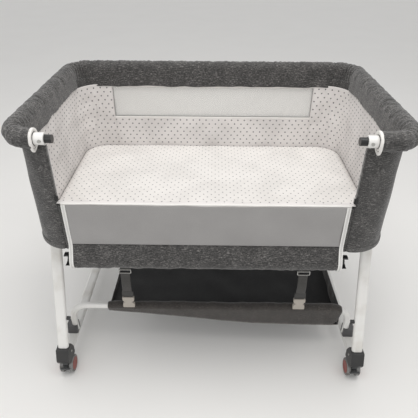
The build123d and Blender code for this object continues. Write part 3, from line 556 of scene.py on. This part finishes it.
binding_cotton, shader, _, run = finish("binding_cotton", tone(236, 234, 231), 0.8,
                                        Sheen_Weight=0.1)
rib = run.halves()[0].sine(5200)
(rib * 0.5 + run.noise(120, 3)).bump(0.0003, 0.5).into(shader, "Normal")
run.noise(30, 3).blend(tone(238, 236, 233), tone(222, 219, 215)).into(shader, "Base Color")
wide, high, turn = 0.6214, 0.0994, np.linspace(0, 2 * np.pi, 9)[None, :]
along = np.linspace(0, 1, 241)[:, None] * 2 * (wide + high)
corners = np.cumsum([0, wide, high, wide, high])
edge_x = np.interp(along, corners, np.array([-1, 1, 1, -1, -1]) * wide / 2)
edge_z = np.interp(along, corners, 0.5783 + high * np.array([0, 0, 1, 1, 0]))
points = grid(edge_x, 0.2400 + 0.0012 * np.cos(turn), edge_z + 0.0026 * np.sin(turn))
frame_edge = cloth("window_edging", points, grid(along, turn * 0.003), "bassinet",
                   binding_cotton)

# Base: plywood board on the tubes, and a sewn fabric cover that closes the underside.
board, shader, spot, _ = finish("birch_board", tone(190, 160, 120), 0.6)
grain = spot.noise(30, 5, (0.2, 3, 1)).step(0.3, 0.7)
grain.blend(tone(196, 168, 130), tone(160, 128, 90)).into(shader, "Base Color")
grain.bump(0.0003, 0.3).into(shader, "Normal")
dress(board, "board", "base_board")


def disc_plan(half_width, half_depth, corner, t):
    """A closed rounded rectangle, t from 0 to 1 once round it: twice the half plan."""
    length = plan_length(half_width, half_depth, corner)
    s = t * 2 * length
    mirrored = np.where(s > length, -1, 1)
    x, y, out_x, out_y = round_plan(half_width, half_depth, corner,
                                    np.where(s > length, 2 * length - s, s))
    return x * mirrored, y, out_x * mirrored, out_y


t = np.linspace(0, 1, 241)[:, None]
reach = np.concatenate([np.linspace(0, 1, 30), [1.0], np.linspace(1, 0, 30)])[None, :]
lift = np.concatenate([np.zeros(30), [0.5], np.ones(30)])[None, :]
x, y, out_x, out_y = disc_plan(0.4082, 0.2412, 0.0697, t)
x, y = x * reach, y * reach
wave = 0.0012 * ripple(x, y, 0.11, 80) * (1 - reach ** 8)
z = 0.4302 + 0.0012 * lift + np.maximum(wave, -0.0001) * 0.4
# painted shade: the underside cover uses the same near-black cloth, standing in for the shade
# under the bassinet
under = cloth("under_cover", grid(x, y, z), grid(x, y), "bassinet", tray_in_painted_shade)
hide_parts("bottom_cover")

# Mattress: a foam slab in a zipped cotton cover with the lining's dots, paler with washing. Its
# ends ride up a little against the end walls, and the cover pulls in at the corners.
cover = dotted("mattress_cotton", tone(229, 226, 223), tone(219, 216, 213), tone(84, 84, 90),
               0.0018, 0.85)
t, tall = np.linspace(0, 1, 401)[:, None], 0.028
levels = np.concatenate([np.linspace(0, 0.97, 16), np.linspace(0.975, 1.0, 6),
                         np.linspace(1, 1, 5), np.linspace(1.0, 0.955, 8),
                         np.linspace(0.95, 0, 70)])[None, :]
heights = np.concatenate([np.zeros(16), np.linspace(0.0, 0.002, 6), np.linspace(0.006, 0.02, 5),
                          0.022 + 0.006 * np.sin(np.linspace(0, np.pi / 2, 8)),
                          np.full(70, tall)])[None, :]
x, y, out_x, out_y = disc_plan(0.4038, 0.2368, 0.066, t)
x, y = x * levels, y * levels
top = np.clip((heights - 0.02) / 0.008, 0, 1)
ramp = np.clip((np.abs(x) - 0.28) / 0.12, 0, 1) ** 2
crown = 0.002 * (1 - (x / 0.41) ** 2) * (1 - (y / 0.24) ** 2)
waves = 0.0010 * ripple(x, y, 0.16, 90) + 0.0005 * ripple(x, y, 0.05, 91)
z = 0.4576 + heights + top * (crown + waves * (1 - ramp) + 0.0045 * ramp - 0.001)
past_foot = np.arange(levels.size)[None, :] >= 21
down = np.where(past_foot, tall - heights, 0)
uv = grid(x + out_x * down, y + out_y * down)
mattress = cloth("mattress_cover", grid(x, y, z), uv, "mattress", cover)
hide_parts("mattress")

# Rail cover: melange cloth drawn round the foam on the top rail. On the inside it hangs on as a
# band, sewn down to the lining. It gathers on the inside of the corners, and seams cross it.
arc = np.radians(np.linspace(-62, 180, 40))
pad_radius, pad_end, side_end, rail_corner = 0.022, 0.354, 0.3672, 0.060
skirt_drop, back_drop = 0.038, 0.0475
hidden = np.radians(np.linspace(206, 298, 10))
section_out = np.concatenate([np.cos(arc), np.full(9, -1.0), [-0.99, -0.96, -0.93],
                              np.full(4, -0.925), np.cos(hidden)])
section_up = np.concatenate([np.sin(arc), np.zeros(16), np.sin(hidden)])
skirt_share = np.concatenate([np.zeros(40), np.linspace(0.1, 0.97, 9), [1.0, 1.01, 1.0],
                              [0.9, 0.7, 0.5, 0.3], np.zeros(10)])
on_arc = np.concatenate([np.ones(40), np.zeros(16), np.zeros(10)])
section_out, section_up, skirt_share, on_arc = (
    np.concatenate([a, a[:1]])[None, :] for a in (section_out, section_up, skirt_share, on_arc))
cloth_v = np.cumsum(np.concatenate([[[0.0]], np.hypot(
    np.diff(section_out * pad_radius),
    np.diff(section_up * pad_radius - skirt_share * skirt_drop))], 1), 1)


def cover_points(x, y, out_x, out_y, s, drop, shrink, seed, corners, seams):
    """The cover's section carried along the rail: a circle round the foam that leaves it at
    the inside and falls straight to its hem. Gathers and seams change its radius."""
    inside = np.clip(-section_out, 0, 1)
    soft = 0.0006 * ripple(s, cloth_v, 0.035, seed)
    soft = soft + 0.0005 * ripple(s * 2, cloth_v, 0.016, seed + 1)
    gather = 0 * s
    for corner in corners:
        gather = gather + np.exp(-((s - corner) / 0.045) ** 2)
    wave = np.sin(2 * np.pi * s / 0.0145 + 1.5 * np.sin(s * 61))
    fold = 0.0022 * gather * (0.25 + inside) * wave
    pinch = 0 * s
    for seam in seams:
        pinch = pinch + np.exp(-((s - seam) / 0.0026) ** 2)
    grow = np.minimum((soft + fold) * (on_arc + 0.5 * np.sqrt(skirt_share.clip(0, 1)))
                      - 0.0020 * pinch * on_arc - 0.0007, 0.0006)
    radius = pad_radius + grow
    slope = (0.0032 + 0.0020 * shrink) * skirt_share
    a = radius * section_out - slope
    b = radius * section_up - skirt_share * drop
    b = b + 0.0015 * ripple(s, 0 * s, 0.08, seed + 2) * (skirt_share > 0.9)
    return grid(x + a * out_x, y + a * out_y, rail_z + b)


rail_run = plan_length(rail_x, rail_y, rail_corner)
front_corner, back_corner = 0.368 + 0.047, rail_run - 0.368 - 0.047
for end, side in (("left", 1), ("right", -1)):
    s = np.linspace(pad_end - side * opening, rail_run - side_end, 330)[:, None]
    x, y, out_x, out_y = round_plan(rail_x, rail_y, rail_corner, s)
    start = s[0, 0]
    drop = skirt_drop * np.clip((s - start - 0.004) / 0.05, 0.05, 1) ** 0.7
    to_back = np.clip((s - rail_run + side_end + 0.16) / 0.12, 0, 1)
    drop = drop + (back_drop - skirt_drop) * to_back ** 2 * (3 - 2 * to_back)
    points = cover_points(x, y, out_x, out_y, s, drop, np.abs(out_y), 100 + 7 * side,
                          (front_corner, back_corner), (rail_run - 0.372, 0.60, 0.76))
    points[..., 0] *= side
    pad = cloth(f"rail_cover_{end}", end_closed(points), twice_ended(grid(s, cloth_v)), "bassinet",
                melange)
    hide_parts(f"rail_pad_{end}")

s = np.linspace(-0.3668, 0.3668, 340)[:, None]
points = cover_points(s, rail_y + 0 * s, 0 * s, 1 + 0 * s, s, back_drop, 1.0, 130, (),
                      (-0.366, -0.183, 0.0, 0.183, 0.366))
pad = cloth("rail_cover_back", end_closed(points), twice_ended(grid(s, cloth_v)), "bassinet",
            melange)
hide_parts("rail_pad_back")

# Rail stubs at the opening: the padding's ends are closed with a white bound patch, with white
# plastic sleeves over the tube and black plugs in it.
for end, side in (("left", -1), ("right", 1)):
    end_x = opening + side * pad_end
    # The patch's section: how far out from the rail's middle, and how far ahead of the end
    t = np.linspace(0, 2 * np.pi, 73)[:, None]
    far = np.array([0.0147, 0.0147, 0.017, 0.0195, 0.0212, 0.0222, 0.0226, 0.0224, 0.0216,
                    0.0205, 0.0147])[None, :]
    ahead = np.array([0.0, 0.0024, 0.0028, 0.0034, 0.0034, 0.0026, 0.0008, -0.0018, -0.0028,
                      0.0, 0.0])[None, :]
    wrinkle = 0.0004 * ripple(t * 0.02, far, 0.012, 170) * (ahead > 0.001)
    tail = np.clip(-np.sin(t), 0, 1) ** 2 * (far > 0.0150)
    points = grid(end_x - side * (ahead + wrinkle - 0.004 * tail),
                  -rail_y + far * np.cos(t) * (1 - 0.2 * tail),
                  rail_z + far * np.sin(t) * (1 + 0.35 * tail))
    patch = cloth(f"rail_end_edging_{end}", points, grid(t * 0.02, np.linspace(0, 0.004, 11)),
                  "bassinet", binding_cotton)
    if side < 0:
        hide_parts("rail_end_bindings")
white_plastic = moulded("white_plastic", tone(228, 227, 225), tone(214, 212, 208), 0.35)
gloss_black = moulded("gloss_black", tone(14, 14, 15), tone(30, 30, 30), 0.35)
dress(white_plastic, "white_plastic", "stub_sleeves")
dress(gloss_black, "black_plastic", "stub_plugs", "drop_rail_cups", "zip_slider_left",
      "zip_slider_right")

# Drop side: pale grey mesh with white zip tapes down both edges and a white bound seam where it
# is sewn to the front wall. A padded steel rail hangs at its foot in a melange cover.
hinge_y, hinge_z, low_z = -0.258, 0.565, 0.4039
mesh_edge, cover_end, tube_room = 0.3188, 0.3288, 0.0174
mesh_grey, shader, _, run = finish("drop_mesh_cloth", tone(158, 156, 154), 0.75,
                                   Sheen_Weight=0.2)
u, v = run.halves()
holes = (u.sine(3500) * v.sine(3500)).step(0.1, 0.7)
tinted = run.noise(12, 3).blend(tone(163, 161, 160), tone(148, 146, 145))
(holes * 0.5).blend(tinted, tone(112, 111, 110)).into(shader, "Base Color")
(1 - holes).bump(0.0004, 0.5).into(shader, "Normal")
x = np.linspace(opening - mesh_edge, opening + mesh_edge, 220)[:, None]
fall = np.linspace(0, 1, 50)[None, :]
droop = 0.0026 * (1 - ((x - opening) / mesh_edge) ** 2) + 0.0008 * ripple(x, 0 * x, 0.12, 141)
upper = hinge_z - 0.0022 - np.maximum(droop, 0) * 0.5
z = upper + (low_z + 0.0485 - upper) * fall
billow = 0.0016 * ripple(x, z, 0.13, 140) * np.sin(np.pi * fall) ** 0.7
front = grid(x, hinge_y - 0.0028 + billow, z)
panel = cloth("drop_mesh_cloth", two_faced(front, front + np.array([0, 0.0010, 0])),
              loop_uv(x, z), "drop_side", mesh_grey)
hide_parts("drop_mesh")

x = np.linspace(opening - 0.3289, opening + 0.3289, 200)[:, None]
turn = np.radians(np.linspace(-75, 255, 21))
loop_y = np.concatenate([0.0024 * np.cos(turn), [-0.0010] * 6, [0.0010] * 6])
loop_z = np.concatenate([0.0024 * np.sin(turn), np.linspace(-0.0035, -0.014, 6),
                         np.linspace(-0.014, -0.0035, 6)])
loop_y, loop_z = (np.append(a, a[0])[None, :] for a in (loop_y, loop_z))
wobble = 0.0003 * ripple(x, 0 * x, 0.05, 150)
points = end_closed(grid(x, hinge_y + loop_y + wobble, hinge_z + loop_z))
uv = points[..., [0, 2]]
seam = cloth("drop_seam_binding", points, uv, "drop_side", binding_cotton)
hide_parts("drop_binding")

zip_tape, shader, _, run = finish("zip_tape", tone(236, 235, 232), 0.75)
u, v = run.halves()
teeth = v.sine(3800).step(-0.2, 0.4) * run.maths("ABSOLUTE", u).step(0.0016, 0.0024, 1, 0)
herring = run.maths("SINE", v * 5200 + run.maths("ABSOLUTE", u) * 5200)
teeth.blend(tone(236, 235, 232), tone(205, 204, 202)).into(shader, "Base Color")
(teeth * 2 + herring * 0.2).bump(0.0006, 0.7).into(shader, "Normal")
down = np.linspace(hinge_z - 0.0030, low_z + 0.050, 60)
round_rail = np.radians(np.linspace(150, 276, 40))
sweep = np.linspace(0, 1, 12)[1:-1]
tape_y = np.concatenate([np.full(60, -0.0036), -0.0036 - 0.0163 * sweep
                         + 0.0034 * np.sin(np.pi * sweep) * (1 - sweep),
                         0.0230 * np.cos(round_rail)])[:, None]
tape_z = np.concatenate([down, low_z + 0.050 - 0.0385 * sweep,
                         low_z + 0.0230 * np.sin(round_rail)])[:, None]
tape_run = np.cumsum(np.hypot(np.diff(tape_y, axis=0, prepend=tape_y[:1]),
                              np.diff(tape_z, axis=0, prepend=tape_z[:1])), 0)
for end, side in (("left", -1), ("right", 1)):
    mid = opening + side * 0.324
    across = np.linspace(-0.0048, 0.0048, 9)[None, :]
    ridge = 0.0010 * np.exp(-(across / 0.0018) ** 2)
    front = grid(mid + across, hinge_y + tape_y - ridge, tape_z)
    back_y = tape_y * (1 - 0.0012 / np.hypot(tape_y, np.minimum(tape_z - low_z, 0.0)))
    back_z = np.where(tape_z < low_z + 0.020, low_z + (tape_z - low_z) * 0.95, tape_z)
    behind = grid(mid + across, hinge_y + back_y, back_z)
    tape = cloth(f"zip_tape_{end}", two_faced(front, behind), loop_uv(across, -tape_run),
                 "drop_side", zip_tape)
    if side < 0:
        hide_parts("drop_zip_tapes")

x = np.linspace(opening - cover_end, opening + cover_end, 330)[:, None]
turn = np.radians(np.linspace(150, 443, 40))
tall = np.linspace(0.0225, 0.0480, 7)
fall = np.linspace(0, 1, 11)[:-1]
loop_y = np.concatenate([pad_radius * np.cos(turn), [0.0016] * 7,
                         -0.0020 - 0.0171 * fall + 0.0034 * np.sin(np.pi * fall) * (1 - fall)])
loop_z = np.concatenate([pad_radius * np.sin(turn), tall, 0.0480 - 0.0370 * fall])
inner_turn = np.concatenate([turn, [turn[-1]] * 7, np.radians(83 + 67 * fall)])
loop_y, loop_z, inner_turn = (
    np.append(a, a[0])[None, :] for a in (loop_y, loop_z, inner_turn))
cloth_v = np.concatenate([[[0.0]], np.cumsum(np.hypot(np.diff(loop_y), np.diff(loop_z)),
                                             1)], 1)
round_part = np.where(loop_y > 0.0015, np.hypot(loop_y, loop_z) < 0.0222, 1.0)
grow = 0.0008 * ripple(x, cloth_v, 0.05, 160) + 0.0005 * ripple(x, cloth_v, 0.018, 161) - 0.0006
pinch = (np.exp(-((x - opening + cover_end) / 0.006) ** 2)
         + np.exp(-((x - opening - cover_end) / 0.006) ** 2))
grow = np.minimum(grow - 0.0015 * pinch, 0.0006) * round_part
scale = 1 + grow / pad_radius
wave = 0.0010 * ripple(x, loop_z, 0.09, 162) * (1 - round_part)
outer = grid(x, hinge_y + loop_y * scale + wave * (loop_z > 0.026), low_z + loop_z * scale)
inner = grid(x, hinge_y + tube_room * np.cos(inner_turn), low_z + tube_room * np.sin(inner_turn))
points = np.concatenate([outer, inner[::-1], outer[:1]])
uv = grid(x, cloth_v)
rail = cloth("drop_rail_cover", points, np.concatenate([uv, uv[::-1], uv[:1]]), "drop_side",
             melange)
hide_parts("drop_pad")

# Tether straps under the front edge: ribbed polyester webbing through a flat ring, with an
# adjuster and a side release buckle at the foot.
webbing, shader, _, run = finish("webbing", tone(62, 61, 59), 0.8, Sheen_Weight=0.2)
u, v = run.halves()
run.noise(200, 3).blend(tone(52, 51, 50), tone(76, 74, 71)).into(shader, "Base Color")
(u.sine(3100) * 0.6 + v.sine(2600) * 0.4).bump(0.0005, 0.7).into(shader, "Normal")
buckle_grey, shader, spot, _ = finish("buckle_plastic", tone(160, 153, 144), 0.4)
adjuster = spot.node("SeparateXYZ", out=2, Vector=spot).step(0.2292, 0.2296)
pale = spot.noise(40, 4).blend(tone(164, 157, 148), tone(180, 173, 164))
adjuster.blend(pale, tone(52, 51, 50)).into(shader, "Base Color")
(0.35 + 0.15 * spot.noise(60, 4)).into(shader, "Roughness")
spot.noise(1100, 1).bump(0.0002, 0.35).into(shader, "Normal")
ring_steel, shader, spot, _ = finish("ring_steel", tone(150, 150, 148), 0.3, Metallic=1.0)
spot.noise(200, 3).blend(tone(150, 150, 148), tone(186, 185, 182)).into(shader, "Base Color")
dress(ring_steel, "ring_metal", "strap_rings")
dress(buckle_grey, "buckle_plastic", "strap_buckles")
for end, strap_x, twist in (("left", -0.228, 0.02), ("right", 0.247, -0.01)):
    for length, z0, z1 in (("upper", 0.3278, 0.4297), ("lower", 0.2182, 0.3142)):
        z = np.linspace(z0, z1, 50)[:, None]
        across = np.linspace(-0.0124, 0.0124, 11)[None, :]
        free = np.sin(np.pi * (z - z0) / (z1 - z0))
        y = -0.2078 + 0.003 * free * np.sin(40 * z) + twist * across * free
        front = grid(strap_x + across, y, z)
        strip = cloth(f"strap_{length}_{end}", two_faced(front, front + np.array([0, 0.0015, 0])),
                      loop_uv(across, z), "bassinet", webbing)
        z1 - z0
        if (end, length) == ("left", "upper"):
            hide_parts("strap_webbing")

# Studio: a pale floor that meets a white surround, one broad soft lamp overhead and a weaker one
# from the front.
paint, shader, spot, _ = finish("studio_floor", tone(240, 239, 237), 0.8)
spot.noise(3, 2).blend(tone(241, 240, 238), tone(237, 236, 234)).into(shader, "Base Color")
mesh = bpy.data.meshes.new("studio_floor")
mesh.from_pydata([(-15, -15, 0), (15, -15, 0), (15, 15, 0), (-15, 15, 0)], [], [(0, 1, 2, 3)])
mesh.materials.append(paint)
ground = bpy.data.objects.new("studio_floor", mesh)
bpy.context.scene.collection.objects.link(ground)

bpy.context.scene.view_settings.view_transform = "Standard"
world = bpy.data.worlds.new("studio")
bpy.context.scene.world = world
world.use_nodes = True
tree = world.node_tree
seen = Thread(tree, tree.nodes.new("ShaderNodeLightPath").outputs["Is Camera Ray"])
path = seen.socket.node
bright = seen.maths("MAXIMUM", seen, Thread(tree, path.outputs["Is Glossy Ray"]))
bright = seen.maths("MAXIMUM", bright, Thread(tree, path.outputs["Is Transmission Ray"]))
tree.nodes["Background"].inputs["Color"].default_value = (1, 1, 1, 1)
(0.60 + 0.40 * bright).into(tree.nodes["Background"], "Strength")
for name, at, size, power, colour in (("overhead", (0.1, -0.3, 2.5), 1.8, 31, (1, 0.985, 0.96)),
                                      ("front", (-0.6, -2.2, 1.5), 1.4, 9, (1, 1, 1))):
    lamp = bpy.data.lights.new(name, "AREA")
    lamp.energy, lamp.size, lamp.color = power, size, colour
    made = bpy.data.objects.new(name, lamp)
    bpy.context.scene.collection.objects.link(made)
    made.location = at
    aim = Matrix.Translation(at).inverted() @ Matrix.Translation((0, 0, 0.4))
    made.rotation_euler = aim.translation.to_track_quat("-Z", "Y").to_euler()
